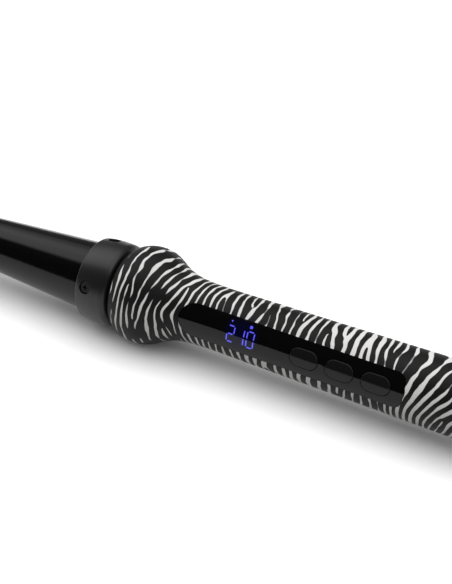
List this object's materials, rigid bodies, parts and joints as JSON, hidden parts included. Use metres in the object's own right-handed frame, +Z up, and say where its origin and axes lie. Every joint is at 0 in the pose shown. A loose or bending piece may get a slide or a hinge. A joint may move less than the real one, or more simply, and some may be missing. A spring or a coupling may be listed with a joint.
{
  "type": "curling wand",
  "caption": "Clipless conical curling wand with coated barrel, bulb-headed printed handle, gloss control inlay with lit read-out, press buttons and cord swivel.",
  "frame": {"origin": "on the surface that the wand lies on, under the middle of its bounding box", "axes": "+X along the wand from the cool tip to the cord swivel, +Z up, the control panel faces -Y, tilted 21.5 degrees up"},
  "size_m": [0.375, 0.046, 0.046],
  "materials": {
    "barrel_coating": "gloss",
    "black_plastic": "satin",
    "ceramic_white": "matte",
    "screw_steel": "satin",
    "bare_aluminium": "satin",
    "spring_steel": "satin",
    "glass_bead": "gloss",
    "lead_sleeve": "matte",
    "pps_brown": "matte",
    "mica": "satin",
    "collar_plastic": "matte",
    "black_screw": "satin",
    "zebra_print": "soft touch, printed with pale stripes",
    "inlay_gloss": "gloss",
    "display_light": "lit",
    "module_plastic": "matte",
    "button_gloss": "gloss",
    "white_plastic": "matte",
    "board_green": "solder mask",
    "terminal_plastic": "matte",
    "capacitor_yellow": "gloss",
    "varistor_blue": "gloss",
    "capacitor_sleeve": "gloss",
    "resistor_body": "matte",
    "brass_contact": "polished",
    "gland_plastic": "satin"
  },
  "bodies": {
    "wand": {"barrel_tube": "barrel_coating", "cool_tip": "black_plastic", "tip_plug": "ceramic_white", "tip_screw": "screw_steel", "front_heater_shoe": "bare_aluminium", "back_heater_shoe": "bare_aluminium", "heater_strip": "ceramic_white", "shoe_springs": "spring_steel", "thermistor": "glass_bead", "thermal_fuse": "spring_steel", "heater_leads": "lead_sleeve", "sensor_leads": "lead_sleeve", "base_ring": "pps_brown", "heat_shield": "mica", "collar": "collar_plastic", "collar_screws": "black_screw", "front_shell": "zebra_print", "back_shell": "zebra_print", "shell_screws": "black_screw", "control_panel": "inlay_gloss", "display_segments": "display_light", "display_module": "module_plastic", "tact_switches": "module_plastic", "circuit_board": "board_green", "board_screws": "screw_steel", "terminal_block": "terminal_plastic", "triac": "module_plastic", "heat_spreader": "bare_aluminium", "filter_capacitor": "capacitor_yellow", "varistor": "varistor_blue", "smoothing_capacitor": "capacitor_sleeve", "dropper_resistor": "resistor_body", "board_fuse": "resistor_body", "controller_chip": "module_plastic", "swivel_housing": "module_plastic", "contact_brushes": "brass_contact", "swivel_washer": "white_plastic", "tail_cap": "black_plastic", "supply_wires": "lead_sleeve"},
    "minus_key": {"minus_button": "button_gloss", "minus_plunger": "white_plastic"},
    "plus_key": {"plus_button": "button_gloss", "plus_plunger": "white_plastic"},
    "power_key": {"power_button": "button_gloss", "power_plunger": "white_plastic"},
    "cord_swivel": {"swivel_spool": "gland_plastic", "slip_rings": "brass_contact", "retaining_clip": "spring_steel"}
  },
  "joints": [
    {"name": "minus_press", "type": "slide", "parent": "wand", "child": "minus_key", "axis": [0, 0.9304, -0.3665], "range_m": [0, 0.0005], "stiffness_N_per_m": 900, "springref_m": -0.0004},
    {"name": "plus_press", "type": "slide", "parent": "wand", "child": "plus_key", "axis": [0, 0.9304, -0.3665], "range_m": [0, 0.0005], "stiffness_N_per_m": 900, "springref_m": -0.0004},
    {"name": "power_press", "type": "slide", "parent": "wand", "child": "power_key", "axis": [0, 0.9304, -0.3665], "range_m": [0, 0.0005], "stiffness_N_per_m": 900, "springref_m": -0.0004},
    {"name": "cord_swivel_turn", "type": "hinge", "parent": "wand", "child": "cord_swivel", "pos_m": [0.1725, 0, 0.023], "axis": [1, 0, 0], "continuous": true}
  ]
}
